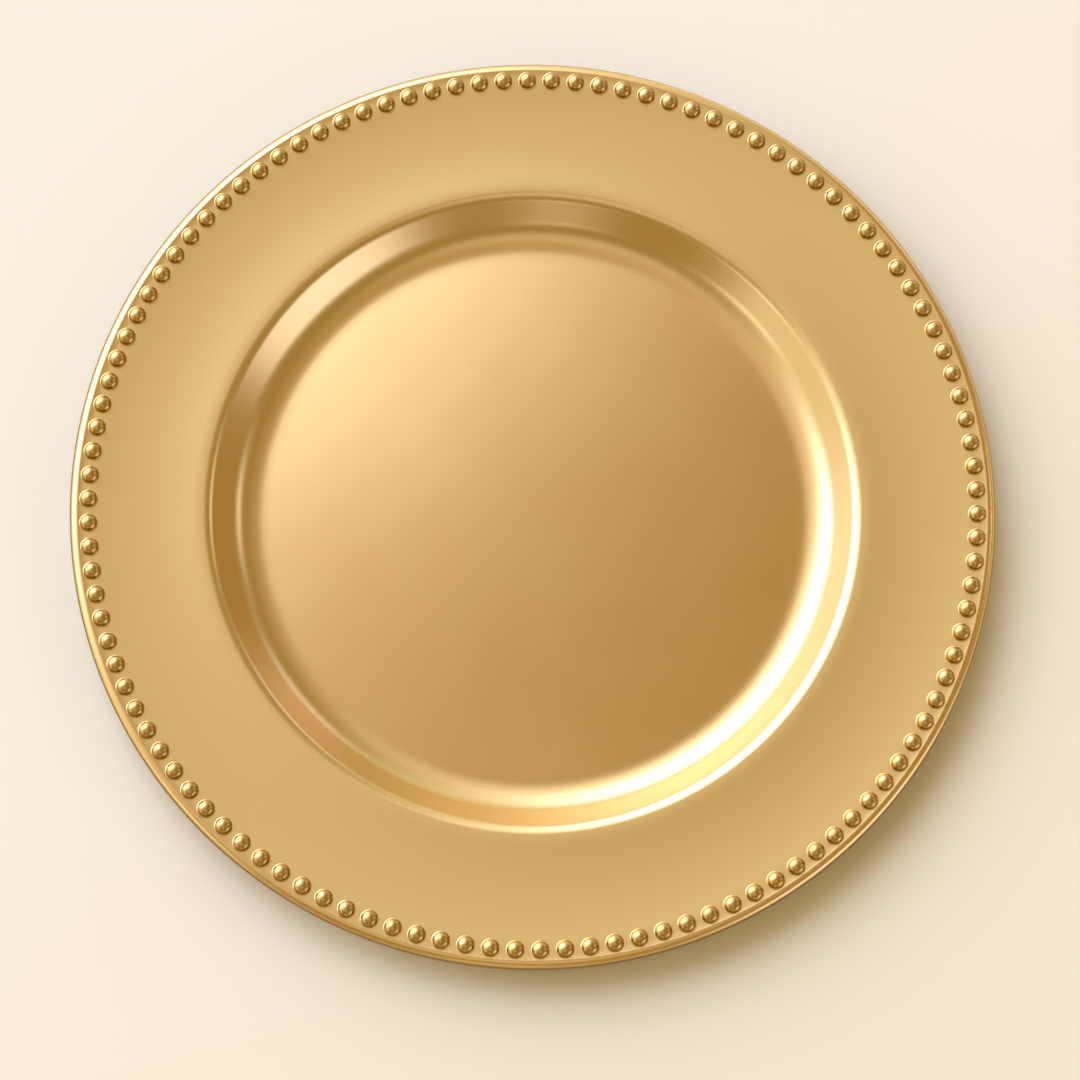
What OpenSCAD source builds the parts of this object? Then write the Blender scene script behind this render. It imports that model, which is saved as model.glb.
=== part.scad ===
/* [Plate] */
// Outside diameter over the turned edge
plate_d = 330; // [290:1:380]
// Thickness of the pressed sheet
sheet_t = 0.5; // [0.4:0.05:0.8]

/* [Well] */
// Diameter of the flat floor
floor_d = 193.4; // [160:0.2:230]
// Depth from the rim's inner edge down to the floor
well_depth = 11; // [9:0.5:16]
// Slope of the well wall, in degrees
wall_angle = 45; // [35:1:50]
// Radius of the soft sweep that lifts the floor's edge into the cove
sweep_r = 28; // [16:1:40]
// Slope at which the sweep runs into the cove, in degrees
sweep_angle = 10; // [4:1:14]
// Radius of the cove between the sweep and the wall
cove_r = 12.5; // [6:0.5:15]
// Radius of the shoulder between the wall and the rim
shoulder_r = 5.5; // [2:0.5:8]
// Rise of the broad rim, in degrees
rim_angle = 3; // [1:0.5:5]

/* [Rim edge] */
// Radius where the rim turns up into the lip
lip_foot_r = 1.1; // [0.6:0.1:2.5]
// Slope of the lip's inner face, in degrees
lip_angle = 10; // [6:1:30]
// Radius over which the edge turns from the lip down to the outside
edge_r = 2.8; // [1.8:0.1:3.5]
// Height of the edge's straight outer face
edge_drop = 0.8; // [0.4:0.1:2]
// Diameter of the wire inside the curled hem
wire_d = 0.7; // [0.5:0.05:1.5]
// Gap between the wire and the sheet that is curled round it
wire_clear = 0.05; // [0.02:0.01:0.1]
// How far the sheet is curled in round the wire, in degrees
curl_sweep = 240; // [180:5:260]

/* [Beads] */
// Diameter of a bead
bead_d = 5.9; // [4:0.1:7.8]
// Spacing of the beads along their ring
bead_pitch = 8.7; // [7.5:0.1:12]
// Height of a bead's middle above its foot disc
bead_lift = 0.5; // [0:0.1:1.2]
// Height of a bead's flattened crown above its middle, as a share of the bead's radius
crown_share = 0.68; // [0.5:0.02:0.9]
// Radius of the crown, as a share of the bead's radius
crown_bow = 1.45; // [1.2:0.05:2]
// How far the foot disc shows round a bead
bead_ledge = 0.35; // [0.1:0.05:0.6]
// Thickness of the foot disc
bead_foot_t = 0.3; // [0.2:0.05:0.8]
// Gap between the foot discs and the lip
bead_gap = 0.05; // [0.02:0.01:0.5]

/* [Foot] */
// Distance from the edge of the flat floor in to the foot ring
foot_inset = 6; // [2:0.2:20]
// Width of the foot ring
foot_ring_w = 13; // [11:0.5:20]
// Thickness of the foot ring
foot_ring_t = 1.6; // [1.2:0.1:3]
// Diameter of a rubber pad
pad_d = 9; // [5:0.5:10]
// Depth of the pocket that a pad is glued into
pad_pocket = 0.8; // [0.4:0.1:1]
// How far a pad stands proud of the foot ring
pad_proud = 0.8; // [0.4:0.1:2]
// Gap round a pad in its pocket
pad_clear = 0.1; // [0.05:0.05:0.3]
// Bevel round the foot of a pad
pad_bevel = 0.25; // [0.1:0.05:0.4]

/* [Hidden] */

// Places of the first bead and the first pad round the plate, in degrees
first_bead_angle = 2.3;
first_pad_angle = 45;
pad_count = 4;
// Overrun of the cuts
cut = 0.5;

// Smoothness of the turned and the small round pieces
turned_fn = 240;
small_fn = 24;
step_angle = 7.5;

// Heights of the foot and of the floor
floor_under_z = pad_proud + foot_ring_t;
floor_z = floor_under_z + sheet_t;

// Well, followed outward on the upper face of the sheet
plate_r = plate_d / 2;
floor_r = floor_d / 2;
sweep_start = [floor_r, floor_z];
cove_start = turn_end(sweep_start, sweep_r, 0, sweep_angle);
cove_end = turn_end(cove_start, cove_r, sweep_angle, wall_angle);
rim_edge_z = floor_z + well_depth;
shoulder_z = rim_edge_z - shoulder_r * (cos(rim_angle) - cos(wall_angle));
shoulder_start = [cove_end[0] + (shoulder_z - cove_end[1]) / tan(wall_angle), shoulder_z];
rim_edge_x = shoulder_start[0] + shoulder_r * (sin(wall_angle) - sin(rim_angle));

// Rim edge, measured inward from the outside of the turned edge
wire_r = wire_d / 2;
curl_r = wire_r + wire_clear + sheet_t;
foot_reach = lip_foot_r * (sin(lip_angle) - sin(rim_angle));
lip_reach = edge_r * (1 + sin(lip_angle)) + foot_reach;
lip_start = on_rim(plate_r - lip_reach);
edge_start = turn_end(lip_start, lip_foot_r, rim_angle, lip_angle);
drop_start = turn_end(edge_start, -edge_r, lip_angle, -90);
curl_start = drop_start - [0, edge_drop];
wire_centre = curl_start - [curl_r, 0];

// Beads
bead_r = bead_d / 2;
bead_foot_r = bead_r + bead_ledge;
bead_ring_r = lip_start[0] - bead_gap - bead_foot_r;
bead_seat = on_rim(bead_ring_r);
bead_count = round(2 * PI * bead_ring_r / bead_pitch);
bead_middle_z = bead_foot_t + bead_lift;
bead_limit = bead_middle_z + bead_r;
crown_r = bead_r * crown_bow;
crown_z = bead_middle_z + bead_r * crown_share - crown_r;

// Foot
foot_outer_r = floor_r - foot_inset;
foot_mid_r = foot_outer_r - foot_ring_w / 2;
pad_r = pad_d / 2;
pocket_top_z = pad_proud + pad_pocket;

// Point on the upper face of the sloping rim at radius x
function on_rim(x) = [x, rim_edge_z + (x - rim_edge_x) * tan(rim_angle)];

// End of a bend that starts at p and turns from heading a to heading b.
// The bend goes to the left with a positive radius and to the right with a negative one.
function turn_end(p, r, a, b) = p + r * [sin(b) - sin(a), cos(a) - cos(b)];

// The same bend as a list of places, each a point and the heading there
function bend(p, r, a, b) =
  let (steps = ceil(abs(b - a) / step_angle))
  [for (i = [0:steps]) let (h = a + (b - a) * i / steps) [turn_end(p, r, a, h), h]];

function without_first(places) = [for (i = [1:len(places) - 1]) places[i]];

// Outline of a strip of thickness t that lies to the right of the places
function strip(places, t) = concat(
  [for (place = places) place[0]],
  [for (i = [len(places) - 1:-1:0])
    let (h = places[i][1]) places[i][0] + t * [sin(h), -cos(h)]]
);

// Upper face of the sheet from the middle of the floor to the end of the curled hem
sheet_places = concat(
  [[[0, floor_z], 0]],
  bend(sweep_start, sweep_r, 0, sweep_angle),
  without_first(bend(cove_start, cove_r, sweep_angle, wall_angle)),
  bend(shoulder_start, -shoulder_r, wall_angle, rim_angle),
  bend(lip_start, lip_foot_r, rim_angle, lip_angle),
  without_first(bend(edge_start, -edge_r, lip_angle, -90)),
  bend(curl_start, -curl_r, -90, -90 - curl_sweep)
);

// Puts children on the bead seats, square to the rim
module at_bead_seats() {
  for (i = [0:bead_count - 1])
    rotate([0, 0, first_bead_angle + i * 360 / bead_count])
      translate([bead_seat[0], 0, bead_seat[1]])
        rotate([0, -rim_angle, 0])
          children();
}

// Turns the plan to the place of pad i
module at_pad(i) {
  rotate([0, 0, first_pad_angle + i * 360 / pad_count])
    translate([foot_mid_r, 0, 0])
      children();
}

// One pressed sheet: floor, sweep, cove, wall, shoulder, rim, lip, turned edge and curled hem
module plate_shell() {
  color("goldenrod")
    rotate_extrude($fn = turned_fn)
      polygon(strip(sheet_places, sheet_t));
}

// Round wire hoop that stiffens the curled hem from inside
module edge_wire() {
  color("silver")
    rotate_extrude($fn = turned_fn)
      translate(wire_centre)
        circle(r = wire_r, $fn = small_fn);
}

// A ball with a flattened crown on its foot disc, which is soldered flat to the rim
module bead() {
  intersection() {
    translate([0, 0, bead_middle_z])
      sphere(r = bead_r, $fn = small_fn);
    translate([0, 0, crown_z])
      sphere(r = crown_r, $fn = small_fn);
    cylinder(r = bead_foot_r, h = bead_limit, $fn = small_fn);
  }
  cylinder(r = bead_foot_r, h = bead_foot_t, $fn = small_fn);
}

// The ring of beads, each a separate piece
module rim_beads() {
  color("gold")
    at_bead_seats()
      bead();
}

// Flat ring soldered under the floor, with a pocket for each pad
module foot_ring() {
  color("darkgoldenrod")
    difference() {
      translate([0, 0, pad_proud])
        cylinder(r = foot_outer_r, h = foot_ring_t, $fn = turned_fn);
      translate([0, 0, pad_proud - cut])
        cylinder(r = foot_outer_r - foot_ring_w, h = foot_ring_t + 2 * cut, $fn = turned_fn);
      for (i = [0:pad_count - 1])
        at_pad(i)
          translate([0, 0, pad_proud - cut])
            cylinder(r = pad_r + pad_clear, h = pad_pocket + cut, $fn = small_fn);
    }
}

// Rubber disc glued into pocket i of the foot ring
module foot_pad(i) {
  color("dimgray")
    at_pad(i)
      rotate_extrude($fn = small_fn)
        polygon([
          [0, 0],
          [pad_r - pad_bevel, 0],
          [pad_r, pad_bevel],
          [pad_r, pocket_top_z],
          [0, pocket_top_z]
        ]);
}

plate_shell();
edge_wire();
rim_beads();
foot_ring();
foot_pad(0);  // foot_pad_1
foot_pad(1);  // foot_pad_2
foot_pad(2);  // foot_pad_3
foot_pad(3);  // foot_pad_4
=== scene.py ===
import math

import bpy
from mathutils import Matrix, Vector


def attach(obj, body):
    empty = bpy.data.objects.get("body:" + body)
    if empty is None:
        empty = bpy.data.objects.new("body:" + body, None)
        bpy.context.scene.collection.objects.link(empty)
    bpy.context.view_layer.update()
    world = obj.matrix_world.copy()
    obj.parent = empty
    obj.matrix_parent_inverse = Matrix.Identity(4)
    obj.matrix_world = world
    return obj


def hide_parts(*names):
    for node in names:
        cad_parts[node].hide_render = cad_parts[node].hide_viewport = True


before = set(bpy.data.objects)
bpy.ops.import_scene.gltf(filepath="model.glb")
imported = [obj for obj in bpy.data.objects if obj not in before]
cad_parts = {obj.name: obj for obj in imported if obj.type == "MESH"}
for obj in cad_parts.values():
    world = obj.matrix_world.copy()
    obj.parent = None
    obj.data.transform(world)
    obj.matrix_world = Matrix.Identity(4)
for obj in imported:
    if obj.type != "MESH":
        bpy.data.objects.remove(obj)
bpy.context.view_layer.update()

MM = 0.001

# Plate and well, with the sizes of the turned solid; lengths in metres, angles in degrees
PLATE_R = 165 * MM
SHEET_T = 0.5 * MM
FLOOR_R = 96.7 * MM
FLOOR_UNDER_Z = 2.4 * MM
FLOOR_Z = FLOOR_UNDER_Z + SHEET_T
WELL_DEPTH = 11 * MM
WALL_ANGLE = 45
SWEEP_R = 28 * MM
SWEEP_ANGLE = 10
COVE_R = 12.5 * MM
SHOULDER_R = 5.5 * MM
RIM_ANGLE = 3

# Rim edge: lip, turned edge and the hem that is curled round the wire
LIP_FOOT_R = 1.1 * MM
LIP_ANGLE = 10
EDGE_R = 2.8 * MM
EDGE_DROP = 0.8 * MM
WIRE_R = 0.35 * MM
WIRE_CLEAR = 0.05 * MM
CURL_R = WIRE_R + WIRE_CLEAR + SHEET_T
CURL_SWEEP = 240

# Beads, each a low dome on a collar and a soldered foot disc
BEAD_R = 2.95 * MM
DOME_SHARE = 0.68
BEAD_DOME = BEAD_R * DOME_SHARE
BEAD_PITCH = 8.7 * MM
BEAD_LIFT = 0.5 * MM
BEAD_LEDGE = 0.35 * MM
BEAD_FOOT_R = BEAD_R + BEAD_LEDGE
BEAD_FOOT_T = 0.3 * MM
WAIST_Z = BEAD_FOOT_T + BEAD_LIFT
BEAD_GAP = 0.05 * MM
FIRST_BEAD_ANGLE = 2.3
SOLDER = 0.14 * MM
DISC_BEVEL = 0.04 * MM
BEAD_SIZE_SPREAD = 0.01
BEAD_SEED = 7

# Rubber pads under the foot ring
PAD_COUNT = 4

# Fineness of the meshes: steps round, degrees per step of a bend, and plain rings between the bends
PLATE_SEGMENTS = 320
BEAD_SEGMENTS = 24
DOME_STEPS = 10
FEWEST_STEPS = 2
BEND_STEP = 3
SWEEP_STEP = 1
EDGE_STEP = 5
CURL_STEP = 15
GUARD = 0.4 * MM
FLOOR_RING_SHARES = (0.1, 0.35, 0.65, 0.9)
RIM_RING_RADII = (125 * MM, 140 * MM, 152 * MM)
WELD = 0.002 * MM

# Slight forms that the sheet's finish shows: the floor's crown, the rim's dish and the lip's swell
CROWN_ANGLE = 3.5
DISH_ANGLE = 2
DISH_INNER_R = 119 * MM
DISH_LOWEST_R = 146 * MM
DISH_OUTER_R = 156 * MM
FORM_BLEND = 4 * MM
SWELL_ANGLE = 3
SWELL_WIDTH = 2.2 * MM
SWELL_BLEND = 0.4 * MM


# Sine, cosine and tangent of an angle in degrees

def sin(degrees):
    return math.sin(math.radians(degrees))


def cos(degrees):
    return math.cos(math.radians(degrees))


def tan(degrees):
    return math.tan(math.radians(degrees))


def direction(azimuth, elevation):
    """Unit vector: azimuth from +X towards +Y, elevation up from the level."""
    return Vector((cos(elevation) * cos(azimuth), cos(elevation) * sin(azimuth), sin(elevation)))


def turn_end(p, r, a, b):
    """End of a bend from heading a to heading b; a negative radius bends to the right."""
    return (p[0] + r * (sin(b) - sin(a)), p[1] + r * (cos(a) - cos(b)))


def bend(p, r, a, b, step=BEND_STEP):
    """The bend as places, each a point and the heading there."""
    steps = max(FEWEST_STEPS, math.ceil(abs(b - a) / step))
    places = []
    for i in range(steps + 1):
        h = a + (b - a) * i / steps
        places.append((turn_end(p, r, a, h), h))
    return places


def onward(place, length):
    """The place that lies a length further on along its own heading."""
    (x, z), h = place
    return ((x + length * cos(h), z + length * sin(h)), h)


# Corners of the sheet's outline, followed outward on its upper face
SWEEP_START = (FLOOR_R, FLOOR_Z)
COVE_START = turn_end(SWEEP_START, SWEEP_R, 0, SWEEP_ANGLE)
COVE_END = turn_end(COVE_START, COVE_R, SWEEP_ANGLE, WALL_ANGLE)
RIM_EDGE_Z = FLOOR_Z + WELL_DEPTH
SHOULDER_Z = RIM_EDGE_Z - SHOULDER_R * (cos(RIM_ANGLE) - cos(WALL_ANGLE))
SHOULDER_START = (COVE_END[0] + (SHOULDER_Z - COVE_END[1]) / tan(WALL_ANGLE), SHOULDER_Z)
RIM_EDGE_X = SHOULDER_START[0] + SHOULDER_R * (sin(WALL_ANGLE) - sin(RIM_ANGLE))


def on_rim(x):
    """Point on the upper face of the sloping rim at radius x."""
    return (x, RIM_EDGE_Z + (x - RIM_EDGE_X) * tan(RIM_ANGLE))


LIP_FOOT_REACH = LIP_FOOT_R * (sin(LIP_ANGLE) - sin(RIM_ANGLE))
LIP_REACH = EDGE_R * (1 + sin(LIP_ANGLE)) + LIP_FOOT_REACH
LIP_START = on_rim(PLATE_R - LIP_REACH)
SWELL_START_R = LIP_START[0] - SWELL_WIDTH

# The ring of bead seats, just inside the lip
BEAD_RING_R = LIP_START[0] - BEAD_GAP - BEAD_FOOT_R
BEAD_SEAT_Z = on_rim(BEAD_RING_R)[1]
BEAD_COUNT = round(2 * math.pi * BEAD_RING_R / BEAD_PITCH)


def guarded(places):
    """A bend with a plain ring close before it and close behind it, which keeps its shading even."""
    return [onward(places[0], -GUARD)] + places + [onward(places[-1], GUARD)]


def sheet_places():
    """Upper face of the sheet from the middle of the floor to the end of the curled hem."""
    middle = [((0.0, FLOOR_Z), 0.0)]
    floor_rings = [((FLOOR_R * share, FLOOR_Z), 0.0) for share in FLOOR_RING_SHARES]
    sweep = bend(SWEEP_START, SWEEP_R, 0, SWEEP_ANGLE, SWEEP_STEP)
    cove = bend(COVE_START, COVE_R, SWEEP_ANGLE, WALL_ANGLE)
    shoulder = bend(SHOULDER_START, -SHOULDER_R, WALL_ANGLE, RIM_ANGLE)
    rim_rings = [(on_rim(x), RIM_ANGLE) for x in RIM_RING_RADII]
    foot = bend(LIP_START, LIP_FOOT_R, RIM_ANGLE, LIP_ANGLE)
    edge = bend(foot[-1][0], -EDGE_R, LIP_ANGLE, -90, EDGE_STEP)
    drop_end = onward(edge[-1], EDGE_DROP)
    curl = bend(drop_end[0], -CURL_R, -90, -90 - CURL_SWEEP, CURL_STEP)
    inner = middle + floor_rings + guarded(sweep + cove[1:]) + guarded(shoulder)
    return inner + rim_rings + [onward(foot[0], -GUARD)] + foot + edge[1:] + curl


def strip_outline(places, thickness):
    """Outline of a sheet that lies to the right of the places, from axis to axis."""
    upper = [p for p, _ in places]
    lower = [(p[0] + thickness * sin(h), p[1] - thickness * cos(h)) for p, h in reversed(places)]
    return upper + lower


def bead_outline():
    """A low dome on a straight collar and a foot disc, from the top down to the middle of the disc."""
    angles = [90 * i / DOME_STEPS for i in range(DOME_STEPS + 1)]
    dome = [(BEAD_R * sin(a), WAIST_Z + BEAD_DOME * cos(a)) for a in angles]
    collar_and_disc = [
        (BEAD_R, BEAD_FOOT_T + SOLDER),
        (BEAD_R + SOLDER, BEAD_FOOT_T),
        (BEAD_FOOT_R - DISC_BEVEL, BEAD_FOOT_T),
        (BEAD_FOOT_R, BEAD_FOOT_T - DISC_BEVEL),
        (BEAD_FOOT_R, 0.0),
        (0.0, 0.0),
    ]
    return dome + collar_and_disc


# Sockets of a node that mixes colours, by number because its sockets share their names
MIX_A = 6
MIX_B = 7
MIX_RESULT = 2


def as_colour(value):
    """A tone as a full colour; a link stays as it is."""
    return value if isinstance(value, bpy.types.NodeSocket) else (*value, 1.0)


class Tree:
    """Small helper that adds nodes and links to a tree."""

    def __init__(self, owner):
        self.owner = owner

    def add(self, kind, values=None, **settings):
        """Adds a node; each value is a link where it is a socket, and else a constant."""
        node = self.owner.nodes.new(kind)
        for key, value in settings.items():
            setattr(node, key, value)
        for key, value in (values or {}).items():
            if isinstance(value, bpy.types.NodeSocket):
                self.owner.links.new(value, node.inputs[key])
            else:
                node.inputs[key].default_value = value
        return node

    def math(self, operation, a, b=None, c=None):
        """Result of an operation on one to three numbers."""
        values = {i: v for i, v in enumerate((a, b, c)) if v is not None}
        return self.add("ShaderNodeMath", values, operation=operation).outputs[0]

    def vector(self, operation, a, b=None, scale=None):
        """Result of an operation on one or two vectors, or on one and a scale."""
        values = {0: a}
        if b is not None:
            values[1] = b
        if scale is not None:
            values["Scale"] = scale
        node = self.add("ShaderNodeVectorMath", values, operation=operation)
        return node.outputs["Value" if operation in ("DOT_PRODUCT", "LENGTH") else "Vector"]

    def ramp(self, value, start, end, low=0.0, high=1.0, shape="SMOOTHSTEP"):
        """Goes from low to high as the value goes from start to end."""
        return self.add("ShaderNodeMapRange", {
            "Value": value, "From Min": start, "From Max": end, "To Min": low, "To Max": high,
        }, interpolation_type=shape).outputs["Result"]

    def blend(self, share, a, b):
        """Goes from colour a to colour b with the share; each is a link or a tone."""
        node = self.add("ShaderNodeMix", {
            "Factor": share, MIX_A: as_colour(a), MIX_B: as_colour(b),
        }, data_type="RGBA")
        return node.outputs[MIX_RESULT]

    def shader(self, values):
        """Ends a material in one shader with these values."""
        principled = self.add("ShaderNodeBsdfPrincipled", values)
        self.add("ShaderNodeOutputMaterial", {"Surface": principled.outputs[0]})


# Node trees that turn and repeat pieces

def new_geometry_tree(name, inputs):
    """An empty geometry tree and what it is given; the inputs are names with their kinds."""
    group = bpy.data.node_groups.new(name, "GeometryNodeTree")
    group.interface.new_socket("Geometry", in_out="OUTPUT", socket_type="NodeSocketGeometry")
    for label, kind in {"Geometry": "Geometry", **inputs}.items():
        group.interface.new_socket(label, in_out="INPUT", socket_type="NodeSocket" + kind)
    tree = Tree(group)
    return group, tree, tree.add("NodeGroupInput").outputs


def round_the_axis(tree, reach, angle, height):
    """The place at a distance from the Z axis, at an angle round it and at a height."""
    x = tree.math("MULTIPLY", reach, tree.math("COSINE", angle))
    y = tree.math("MULTIPLY", reach, tree.math("SINE", angle))
    return tree.add("ShaderNodeCombineXYZ", {"X": x, "Y": y, "Z": height}).outputs[0]


def turn_outline(tree, outline, steps, points):
    """Turns the points of an outline mesh once round the Z axis as a welded skin."""
    rows = tree.math("ADD", steps, 1.0)
    grid = tree.add("GeometryNodeMeshGrid", {"Vertices X": rows, "Vertices Y": points})
    index = tree.add("GeometryNodeInputIndex").outputs[0]
    row = tree.math("FLOOR", tree.math("DIVIDE", index, points))
    column = tree.math("SUBTRACT", index, tree.math("MULTIPLY", row, points))
    sample = tree.add("GeometryNodeSampleIndex", {
        "Geometry": outline,
        "Value": tree.add("GeometryNodeInputPosition").outputs[0],
        "Index": column,
    }, data_type="FLOAT_VECTOR", domain="POINT")
    point = tree.add("ShaderNodeSeparateXYZ", {0: sample.outputs[0]}).outputs
    angle = tree.math("MULTIPLY", tree.math("DIVIDE", row, steps), math.tau)
    place = round_the_axis(tree, point["X"], angle, point["Z"])
    turned = tree.add("GeometryNodeSetPosition", {"Geometry": grid.outputs["Mesh"], "Position": place})
    welded = tree.add("GeometryNodeMergeByDistance", {"Geometry": turned.outputs[0], "Distance": WELD})
    return welded.outputs[0]


def finish_tree(tree, geometry, finish):
    """Smooth, real and in its material, which is how each tree ends."""
    smooth = tree.add("GeometryNodeSetShadeSmooth", {"Geometry": geometry})
    real = tree.add("GeometryNodeRealizeInstances", {"Geometry": smooth.outputs[0]})
    painted = tree.add("GeometryNodeSetMaterial", {"Geometry": real.outputs[0], "Material": finish})
    tree.add("NodeGroupOutput", {"Geometry": painted.outputs[0]})


def turned_piece_tree():
    """Turns an outline once round the plate's axis."""
    group, tree, given = new_geometry_tree("turned piece", {
        "Outline Points": "Int",
        "Steps Round": "Int",
        "Finish": "Material",
    })
    skin = turn_outline(tree, given["Geometry"], given["Steps Round"], given["Outline Points"])
    finish_tree(tree, skin, given["Finish"])
    return group


def bead_ring_tree():
    """Turns one bead and sets it square on its seats round the rim."""
    group, tree, given = new_geometry_tree("bead ring", {
        "Outline Points": "Int",
        "Steps Round": "Int",
        "Count": "Int",
        "Ring Radius": "Float",
        "Seat Height": "Float",
        "Rim Slope": "Float",
        "First Angle": "Float",
        "Size Spread": "Float",
        "Seed": "Int",
        "Finish": "Material",
    })
    bead = turn_outline(tree, given["Geometry"], given["Steps Round"], given["Outline Points"])
    index = tree.add("GeometryNodeInputIndex").outputs[0]
    step = tree.math("DIVIDE", math.tau, given["Count"])
    angle = tree.math("ADD", given["First Angle"], tree.math("MULTIPLY", index, step))
    seat = round_the_axis(tree, given["Ring Radius"], angle, given["Seat Height"])
    seats = tree.add("GeometryNodePoints", {"Count": given["Count"], "Position": seat})
    tilt = tree.math("MULTIPLY", given["Rim Slope"], -1.0)
    turn = tree.add("ShaderNodeCombineXYZ", {"X": 0.0, "Y": tilt, "Z": angle})
    rotation = tree.add("FunctionNodeEulerToRotation", {0: turn.outputs[0]})
    smallest = tree.math("SUBTRACT", 1.0, given["Size Spread"])
    size = tree.add("FunctionNodeRandomValue", {
        "Min": smallest, "Max": 1.0, "Seed": given["Seed"],
    }, data_type="FLOAT")
    beads = tree.add("GeometryNodeInstanceOnPoints", {
        "Points": seats.outputs[0],
        "Instance": bead,
        "Rotation": rotation.outputs[0],
        "Scale": size.outputs["Value"],
    })
    finish_tree(tree, beads.outputs[0], given["Finish"])
    return group


def outline_object(name, outline):
    """A mesh that holds only the points of an outline, in the XZ plane."""
    mesh = bpy.data.meshes.new(name)
    mesh.from_pydata([(x, 0.0, z) for x, z in outline], [], [])
    obj = bpy.data.objects.new(name, mesh)
    bpy.context.scene.collection.objects.link(obj)
    return obj


def made_by(obj, group, values):
    """Runs a tree on an object with named values and keeps the result as its plain mesh."""
    modifier = obj.modifiers.new(group.name, "NODES")
    modifier.node_group = group
    identifiers = {s.name: s.identifier for s in group.interface.items_tree if s.in_out == "INPUT"}
    for label, value in values.items():
        modifier[identifiers[label]] = value
    bpy.context.view_layer.update()
    shaped = obj.evaluated_get(bpy.context.evaluated_depsgraph_get())
    mesh = bpy.data.meshes.new_from_object(shaped)
    obj.modifiers.clear()
    obj.data = mesh
    mesh.name = obj.name


# Noises of the grain and of the tone clouds, and the stretch of a noise that a finish spreads out
GRAIN_NOISE = {"Detail": 3.0, "Roughness": 0.6}
GRAIN_SIZE = 0.9 * MM
CLOUD_NOISE = {"Detail": 2.0, "Roughness": 0.5}
CLOUD_SIZE = 45 * MM
NOISE_SPAN = (0.3, 0.7)

# Finishes: deep and light tone, roughness and its spread, height and size of the grain
SATIN_GOLD = {
    "tones": ((0.90, 0.62, 0.27), (0.93, 0.66, 0.30)),
    "roughness": 0.29,
    "spread": 0.008,
    "grain_height": 0.0004 * MM,
    "grain_size": 0.45 * MM,
}
POLISHED_GOLD = {
    "tones": ((0.63, 0.39, 0.09), (0.66, 0.41, 0.10)),
    "roughness": 0.28,
    "spread": 0.01,
    "grain_height": 0.0003 * MM,
    "grain_size": 0.6 * MM,
}
FOOT_GOLD = {
    "tones": ((0.84, 0.57, 0.24), (0.88, 0.62, 0.28)),
    "roughness": 0.36,
    "spread": 0.04,
    "grain_height": 0.03 * MM,
    "grain_size": GRAIN_SIZE,
}
STEEL = {
    "tones": ((0.45, 0.44, 0.43), (0.52, 0.51, 0.49)),
    "roughness": 0.35,
    "spread": 0.05,
    "grain_height": 0.01 * MM,
    "grain_size": 0.5 * MM,
}
RUBBER_TONES = ((0.012, 0.011, 0.010), (0.03, 0.027, 0.024))
RUBBER_ROUGHNESS = 0.75
RUBBER_GRAIN_HEIGHT = 0.05 * MM
RUBBER_GRAIN_SIZE = 0.6 * MM

# Tones of the sheet's wall and rim, with the radii over which each one fades in: painted shade on the
# wall, painted light on the rim
WALL_PAINTED_SHADE_TONE = (0.86, 0.65, 0.335)
WALL_SHADE_RADII = (101 * MM, 106 * MM)
RIM_PAINTED_LIGHT_TONE = (1.0, 0.745, 0.34)
RIM_LIGHT_RADII = (114 * MM, 119 * MM)

# Painted shade along its outer edge, a dark tone where the turned-down edge falls into shade, with how
# far in it starts to fade in and is full
EDGE_PAINTED_SHADE_TONE = (0.3, 0.17, 0.052)
EDGE_SHADE_INSETS = (0.8 * MM, 0.4 * MM)

# Painted shade in the crevice below a bead, a dark tone where shade falls, with the heights above the
# bead's waist over which it fades out
BEAD_PAINTED_SHADE_TONE = (0.27, 0.14, 0.026)
BEAD_SHADE_SHARE = 0.82
BEAD_SHADE_HEIGHTS = (0.5 * MM, 1.3 * MM)

# Lacquer on a bead's buffed top, with the heights above its waist over which it fades in
LACQUER_ROUGHNESS = 0.28
LACQUER_IOR = 1.8
LACQUER_HEIGHTS = (0.8 * MM, 1.4 * MM)

# Tone of the foot discs, up to a hair above their upper face
DISC_TONE = (0.80, 0.58, 0.26)
DISC_MARGIN = 0.02 * MM

# Keeps only the level part of a place
LEVEL_PART = (1.0, 1.0, 0.0)


def new_material(name):
    """An empty node material and its tree."""
    material = bpy.data.materials.new(name)
    material.use_nodes = True
    material.node_tree.nodes.clear()
    return material, Tree(material.node_tree)


def grain_group():
    """Fine even grain of a satin metal finish: a height for the bump and two masks."""
    group = bpy.data.node_groups.new("satin grain", "ShaderNodeTree")
    face = group.interface
    face.new_socket("Position", in_out="INPUT", socket_type="NodeSocketVector")
    for label, size in (("Grain Size", GRAIN_SIZE), ("Cloud Size", CLOUD_SIZE)):
        face.new_socket(label, in_out="INPUT", socket_type="NodeSocketFloat").default_value = size
    for label in ("Height", "Grain", "Cloud"):
        face.new_socket(label, in_out="OUTPUT", socket_type="NodeSocketFloat")
    tree = Tree(group)
    given = tree.add("NodeGroupInput").outputs

    def noise(size, shape):
        scale = tree.math("DIVIDE", 1.0, size)
        node = tree.add("ShaderNodeTexNoise", {"Vector": given["Position"], "Scale": scale, **shape})
        return node.outputs["Fac"]

    fine = noise(given["Grain Size"], GRAIN_NOISE)
    cloud = noise(given["Cloud Size"], CLOUD_NOISE)
    tree.add("NodeGroupOutput", {"Height": fine, "Grain": fine, "Cloud": cloud})
    return group


def reach_of(tree, place):
    """Distance of a point from the plate's axis."""
    return tree.vector("LENGTH", tree.vector("MULTIPLY", place, LEVEL_PART))


def bow(tree, run, factor):
    """A height that grows with the square of the run."""
    return tree.math("MULTIPLY", tree.math("MULTIPLY", run, run), factor)


def held_between(tree, value, low, high, blend):
    """The value, softly kept between two bounds."""
    return tree.math("SMOOTH_MIN", tree.math("SMOOTH_MAX", value, low, blend), high, blend)


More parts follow.
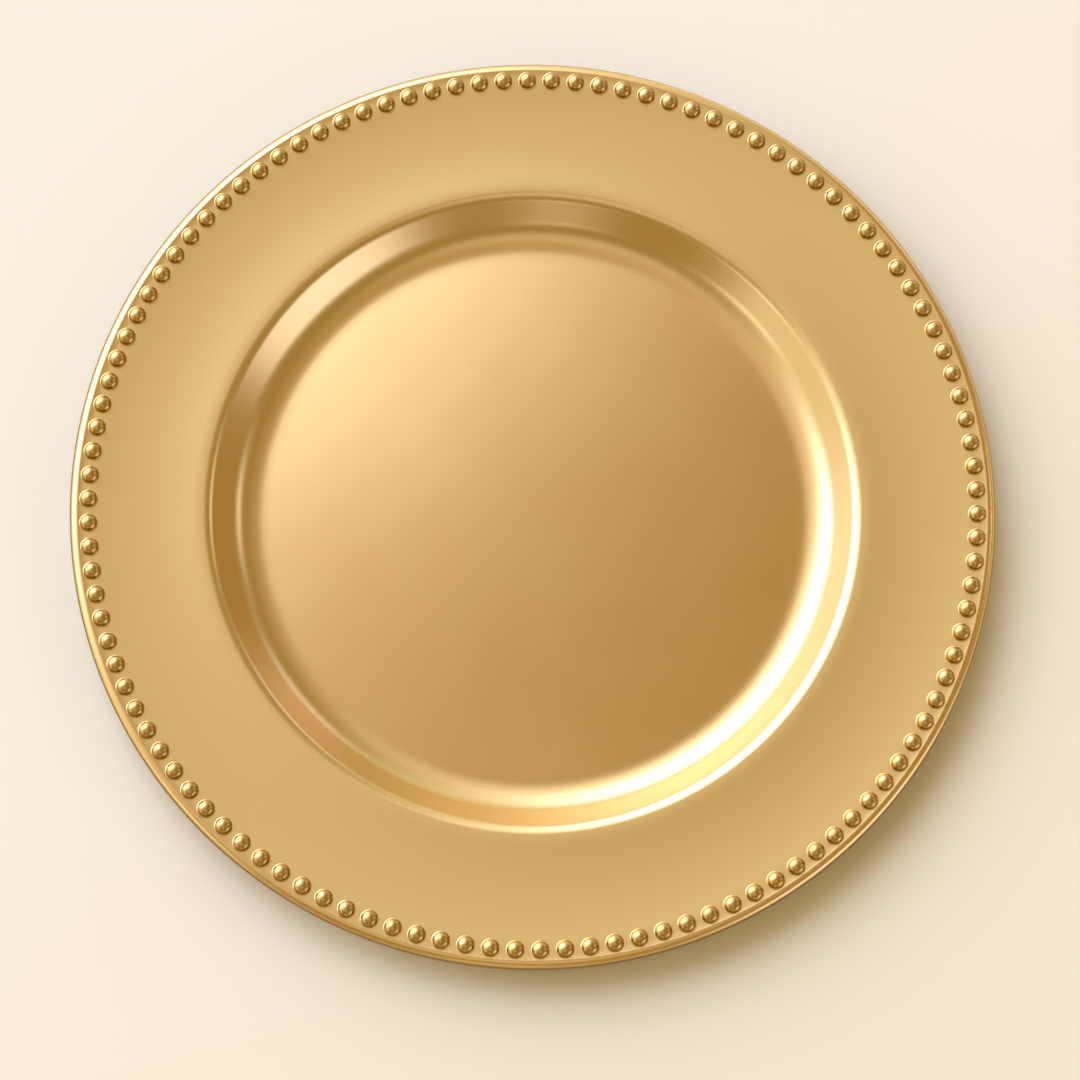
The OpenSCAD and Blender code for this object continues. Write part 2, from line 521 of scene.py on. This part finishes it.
def pressed_height(tree, reach):
    """Height of the floor's crown, of the rim's dish and of the soft swell below the lip."""
    over_floor = tree.math("SMOOTH_MIN", reach, FLOOR_R, FORM_BLEND)
    crown = bow(tree, over_floor, -tan(CROWN_ANGLE) / (2 * FLOOR_R))
    over_rim = held_between(tree, reach, DISH_INNER_R, DISH_OUTER_R, FORM_BLEND)
    from_lowest = tree.math("SUBTRACT", over_rim, DISH_LOWEST_R)
    dish = bow(tree, from_lowest, tan(DISH_ANGLE) / (DISH_OUTER_R - DISH_INNER_R))
    over_swell = held_between(tree, reach, SWELL_START_R, LIP_START[0], SWELL_BLEND)
    from_start = tree.math("SUBTRACT", over_swell, SWELL_START_R)
    swell = bow(tree, from_start, tan(SWELL_ANGLE) / (2 * SWELL_WIDTH))
    return tree.math("ADD", tree.math("ADD", crown, dish), swell)


def painted_wall_shade_share(tree, reach):
    """How much a point lies on the drawn wall, where shade is painted."""
    past_floor = tree.ramp(reach, *WALL_SHADE_RADII)
    before_rim = tree.math("SUBTRACT", 1.0, tree.ramp(reach, *RIM_LIGHT_RADII))
    return tree.math("MULTIPLY", past_floor, before_rim)


def painted_rim_light_share(tree, reach):
    """How much a point lies on the broad rim, inside the swell, where light is painted."""
    past_wall = tree.ramp(reach, *RIM_LIGHT_RADII)
    before_lip = tree.ramp(reach, SWELL_START_R, LIP_START[0], 1.0, 0.0, "LINEAR")
    return tree.math("MULTIPLY", past_wall, before_lip)


def painted_edge_shade_share(tree, reach):
    """How much a point lies on the outer edge, where shade is painted."""
    start, full = (PLATE_R - inset for inset in EDGE_SHADE_INSETS)
    return tree.ramp(reach, start, full)


def height_over_waist(tree, place):
    """Height of a point above the waists of the beads, which rise with the rim's slope."""
    past_seat = tree.math("SUBTRACT", reach_of(tree, place), BEAD_RING_R)
    rise = tree.math("MULTIPLY", past_seat, tan(RIM_ANGLE))
    height = tree.add("ShaderNodeSeparateXYZ", {0: place}).outputs["Z"]
    return tree.math("SUBTRACT", tree.math("SUBTRACT", height, BEAD_SEAT_Z + WAIST_Z), rise)


class MetalFinish:
    """A metal finish with its own tone clouds, roughness spread and grain."""

    def __init__(self, name, grain, tones, roughness, spread, grain_height, grain_size):
        self.material, self.tree = new_material(name)
        tree = self.tree
        self.place = tree.add("ShaderNodeTexCoord").outputs["Object"]
        texture = tree.add("ShaderNodeGroup", {
            "Position": self.place, "Grain Size": grain_size,
        }, node_tree=grain).outputs
        cloudy = tree.ramp(texture["Cloud"], *NOISE_SPAN, shape="LINEAR")
        self.colour = tree.blend(cloudy, *tones)
        self.roughness = tree.ramp(
            texture["Grain"], *NOISE_SPAN, roughness - spread, roughness + spread, "LINEAR")
        self.height = tree.math("MULTIPLY", texture["Height"], grain_height)

    def tint(self, share, tone):
        """Lays another tone over the colour, as much as the share says."""
        self.colour = self.tree.blend(share, self.colour, tone)

    def done(self, coat=None):
        """Ends the material in its shader, with the values of a coat where one is given."""
        bump = self.tree.add("ShaderNodeBump", {"Height": self.height, "Distance": 1.0, "Strength": 1.0})
        self.tree.shader({
            "Base Color": self.colour,
            "Metallic": 1.0,
            "Roughness": self.roughness,
            "Normal": bump.outputs[0],
            **(coat or {}),
        })
        return self.material


def satin_gold_material(grain):
    """The pressed sheet, with the tones of its zones and its slight forms: painted shade on the wall and
    the outer edge, painted light on the rim.
    """
    finish = MetalFinish("satin gold", grain, **SATIN_GOLD)
    tree = finish.tree
    reach = reach_of(tree, finish.place)
    # Painted shade: a dimmer, paler tone on the wall that tones down its reflections
    finish.tint(painted_wall_shade_share(tree, reach), WALL_PAINTED_SHADE_TONE)
    # Painted light: a brighter tone on the rim that lifts it
    finish.tint(painted_rim_light_share(tree, reach), RIM_PAINTED_LIGHT_TONE)
    # Painted shade: a dark tone along the outermost edge of the sheet
    finish.tint(painted_edge_shade_share(tree, reach), EDGE_PAINTED_SHADE_TONE)
    finish.height = tree.math("ADD", finish.height, pressed_height(tree, reach))
    return finish.done()


def polished_gold_material(grain):
    """The beads, with painted shade darkening the crevice below each, a pale foot disc and a buffed,
    lacquered top.
    """
    finish = MetalFinish("polished gold", grain, **POLISHED_GOLD)
    tree = finish.tree
    height = height_over_waist(tree, finish.place)
    # Painted shade: darkens each bead's lower part near its waist, where shade falls
    finish.tint(tree.ramp(height, *BEAD_SHADE_HEIGHTS, BEAD_SHADE_SHARE, 0.0), BEAD_PAINTED_SHADE_TONE)
    finish.tint(tree.math("LESS_THAN", height, DISC_MARGIN - BEAD_LIFT), DISC_TONE)
    return finish.done({
        "Coat Weight": tree.ramp(height, *LACQUER_HEIGHTS),
        "Coat Roughness": LACQUER_ROUGHNESS,
        "Coat IOR": LACQUER_IOR,
    })


def rubber_material(grain):
    """The pads: dark rubber with faint tone clouds and a fine grain."""
    material, tree = new_material("pad rubber")
    texture = tree.add("ShaderNodeGroup", {
        "Position": tree.add("ShaderNodeTexCoord").outputs["Object"],
        "Grain Size": RUBBER_GRAIN_SIZE,
    }, node_tree=grain).outputs
    bump = tree.add("ShaderNodeBump", {
        "Height": texture["Height"], "Distance": RUBBER_GRAIN_HEIGHT, "Strength": 1.0,
    })
    tree.shader({
        "Base Color": tree.blend(texture["Cloud"], *RUBBER_TONES),
        "Roughness": RUBBER_ROUGHNESS,
        "Normal": bump.outputs[0],
    })
    return material


# Pieces

def plate_shell(material):
    """The pressed sheet with its fine bends, in place of its solid."""
    outline = strip_outline(sheet_places(), SHEET_T)
    shell = outline_object("plate_shell_turned", outline)
    made_by(shell, turned_piece_tree(), {
        "Outline Points": len(outline),
        "Steps Round": PLATE_SEGMENTS,
        "Finish": material,
    })
    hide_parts("plate_shell")
    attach(shell, "root")


def rim_beads(material):
    """The ring of beads with their solder fillets, in place of its solids."""
    outline = bead_outline()
    beads = outline_object("rim_beads_set", outline)
    made_by(beads, bead_ring_tree(), {
        "Outline Points": len(outline),
        "Steps Round": BEAD_SEGMENTS,
        "Count": BEAD_COUNT,
        "Ring Radius": BEAD_RING_R,
        "Seat Height": BEAD_SEAT_Z,
        "Rim Slope": math.radians(RIM_ANGLE),
        "First Angle": math.radians(FIRST_BEAD_ANGLE),
        "Size Spread": BEAD_SIZE_SPREAD,
        "Seed": BEAD_SEED,
        "Finish": material,
    })
    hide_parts("rim_beads")
    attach(beads, "root")


def paint_node(name, material):
    """Gives a solid that stays its material."""
    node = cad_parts[name]
    node.data.materials.clear()
    node.data.materials.append(material)


# The table top's pale tone, with painted shade: darker and warmer away from the light
TABLE_LIT_TONE = (0.94, 0.94, 0.78)
TABLE_PAINTED_SHADE_TONE = (0.90, 0.83, 0.64)
TABLE_TONE_AZIMUTH = 135
TABLE_TONE_REACH = 0.3
TABLE_ROUGHNESS = 0.9
TABLE_SPECULAR = 0.1
TABLE_HALF_WIDTH = 3.0

# Soft lights of the room: azimuth from +X towards +Y, elevation, full and faded half-widths,
# elevation of the sill that cuts the light off below, colour
ROOM_LIGHTS = {
    "key": (135, 23, 20, 48, 15, (2.65, 2.7, 4.2)),
    "over key": (114, 57, 8, 19, -20, (0.95, 1.14, 1.7)),
    "front top": (265, 74, 8, 20, -20, (0.36, 0.40, 0.44)),
    "low front": (265, 23, 6, 11, -20, (0.60, 0.60, 0.68)),
    "low right back": (49, 16, 4, 14, -20, (0.8, 0.8, 1.0)),
    "right window": (14, 34, 2, 9, -20, (1.7, 1.7, 2.0)),
    "low right front": (-38, 8, 12, 28, -20, (1.2, 1.25, 1.6)),
    "low left front": (-145, 24, 3, 11, -20, (1.3, 1.3, 1.5)),
}
SILL_FADE = 8

# The room's dim and bright tone, the azimuth of its bright side, and the cosines round which it turns
ROOM_TONES = ((0.37, 0.255, 0.062), (0.93, 0.87, 0.60))
ROOM_AZIMUTH = 140
ROOM_TURN = 0.27
ROOM_FADE = 0.21

# What the camera sees past the table top
BACKDROP_TONE = (0.93, 0.82, 0.68)


def table_material():
    """A matt top with painted shade: its tone turns darker and warmer across the plate, away from the
    light.
    """
    material, tree = new_material("table top")
    place = tree.add("ShaderNodeTexCoord").outputs["Object"]
    along = tree.vector("DOT_PRODUCT", place, direction(TABLE_TONE_AZIMUTH, 0))
    # Painted shade: the tone turns darker and warmer on the side away from the light
    near = tree.ramp(along, -TABLE_TONE_REACH, TABLE_TONE_REACH)
    tree.shader({
        "Base Color": tree.blend(near, TABLE_PAINTED_SHADE_TONE, TABLE_LIT_TONE),
        "Roughness": TABLE_ROUGHNESS,
        "Specular IOR Level": TABLE_SPECULAR,
    })
    return material


def table_top():
    """The pale table top that the plate lies on."""
    w = TABLE_HALF_WIDTH
    mesh = bpy.data.meshes.new("table_top")
    mesh.from_pydata([(-w, -w, 0), (w, -w, 0), (w, w, 0), (-w, w, 0)], [], [(0, 1, 2, 3)])
    mesh.materials.append(table_material())
    obj = bpy.data.objects.new("table_top", mesh)
    bpy.context.scene.collection.objects.link(obj)


def soft_light(tree, ray, height, azimuth, elevation, full, faded, sill, colour):
    """The light that a ray of some height meets in one soft lobe, cut off below its sill."""
    facing = tree.vector("DOT_PRODUCT", ray, direction(azimuth, elevation))
    glow = tree.ramp(facing, cos(faded), cos(full))
    over_sill = tree.ramp(height, sin(sill - SILL_FADE), sin(sill + SILL_FADE))
    return tree.vector("SCALE", colour, scale=tree.math("MULTIPLY", glow, over_sill))


def studio_world():
    """A soft room, warm and dim at the front right, bright at the back left, with its lights."""
    world = bpy.data.worlds.new("studio")
    bpy.context.scene.world = world
    world.use_nodes = True
    world.node_tree.nodes.clear()
    tree = Tree(world.node_tree)
    ray = tree.vector("NORMALIZE", tree.add("ShaderNodeTexCoord").outputs["Generated"])
    across = tree.vector("DOT_PRODUCT", ray, direction(ROOM_AZIMUTH, 0))
    total = tree.blend(tree.ramp(across, ROOM_TURN - ROOM_FADE, ROOM_TURN + ROOM_FADE), *ROOM_TONES)
    height = tree.add("ShaderNodeSeparateXYZ", {0: ray}).outputs["Z"]
    for light in ROOM_LIGHTS.values():
        total = tree.vector("ADD", total, soft_light(tree, ray, height, *light))
    lit = tree.add("ShaderNodeBackground", {"Color": total, "Strength": 1.0})
    seen = tree.add("ShaderNodeBackground", {"Color": as_colour(BACKDROP_TONE), "Strength": 1.0})
    to_camera = tree.add("ShaderNodeLightPath").outputs["Is Camera Ray"]
    mixed = tree.add("ShaderNodeMixShader", {0: to_camera, 1: lit.outputs[0], 2: seen.outputs[0]})
    tree.add("ShaderNodeOutputWorld", {"Surface": mixed.outputs[0]})


# The camera, in metres and degrees, with its focal length in pixels of the picture
CAMERA_DISTANCE = 1.534
CAMERA_ELEVATION = 78.203
CAMERA_TURN = -6.0
CAMERA_ROLL = CAMERA_TURN
CAMERA_AIM = Vector((0.002281, -0.011836, 0.014))
CAMERA_NEAREST = 0.05
CAMERA_FURTHEST = 20
CAMERA_FOCUS_PIXELS = 4309.7
IMAGE_PIXELS = 1080
SENSOR_MM = 36.0


def photo_camera():
    """Looks down on the plate, turned a little round it and rolled back by the same angle."""
    data = bpy.data.cameras.new("camera")
    data.sensor_width = SENSOR_MM
    data.lens = CAMERA_FOCUS_PIXELS * SENSOR_MM / IMAGE_PIXELS
    data.clip_start = CAMERA_NEAREST
    data.clip_end = CAMERA_FURTHEST
    turn = Matrix.Rotation(math.radians(CAMERA_TURN), 3, "Z")
    back = turn @ Vector((0, -cos(CAMERA_ELEVATION), sin(CAMERA_ELEVATION)))
    level_right = turn @ Vector((1, 0, 0))
    level_up = back.cross(level_right)
    right = level_right * cos(CAMERA_ROLL) - level_up * sin(CAMERA_ROLL)
    up = level_right * sin(CAMERA_ROLL) + level_up * cos(CAMERA_ROLL)
    turned = Matrix((right, up, back)).transposed().to_4x4()
    camera = bpy.data.objects.new("camera", data)
    camera.matrix_world = Matrix.Translation(CAMERA_AIM + back * CAMERA_DISTANCE) @ turned
    bpy.context.scene.collection.objects.link(camera)
    bpy.context.scene.camera = camera


def build():
    """The plate's pieces in their finishes, on the table in the room, and the camera."""
    bpy.context.scene.view_settings.view_transform = "Standard"
    grain = grain_group()
    plate_shell(satin_gold_material(grain))
    rim_beads(polished_gold_material(grain))
    paint_node("foot_ring", MetalFinish("foot gold", grain, **FOOT_GOLD).done())
    paint_node("edge_wire", MetalFinish("steel wire", grain, **STEEL).done())
    rubber = rubber_material(grain)
    for i in range(PAD_COUNT):
        paint_node(f"foot_pad_{i + 1}", rubber)
    table_top()
    studio_world()
    photo_camera()


build()
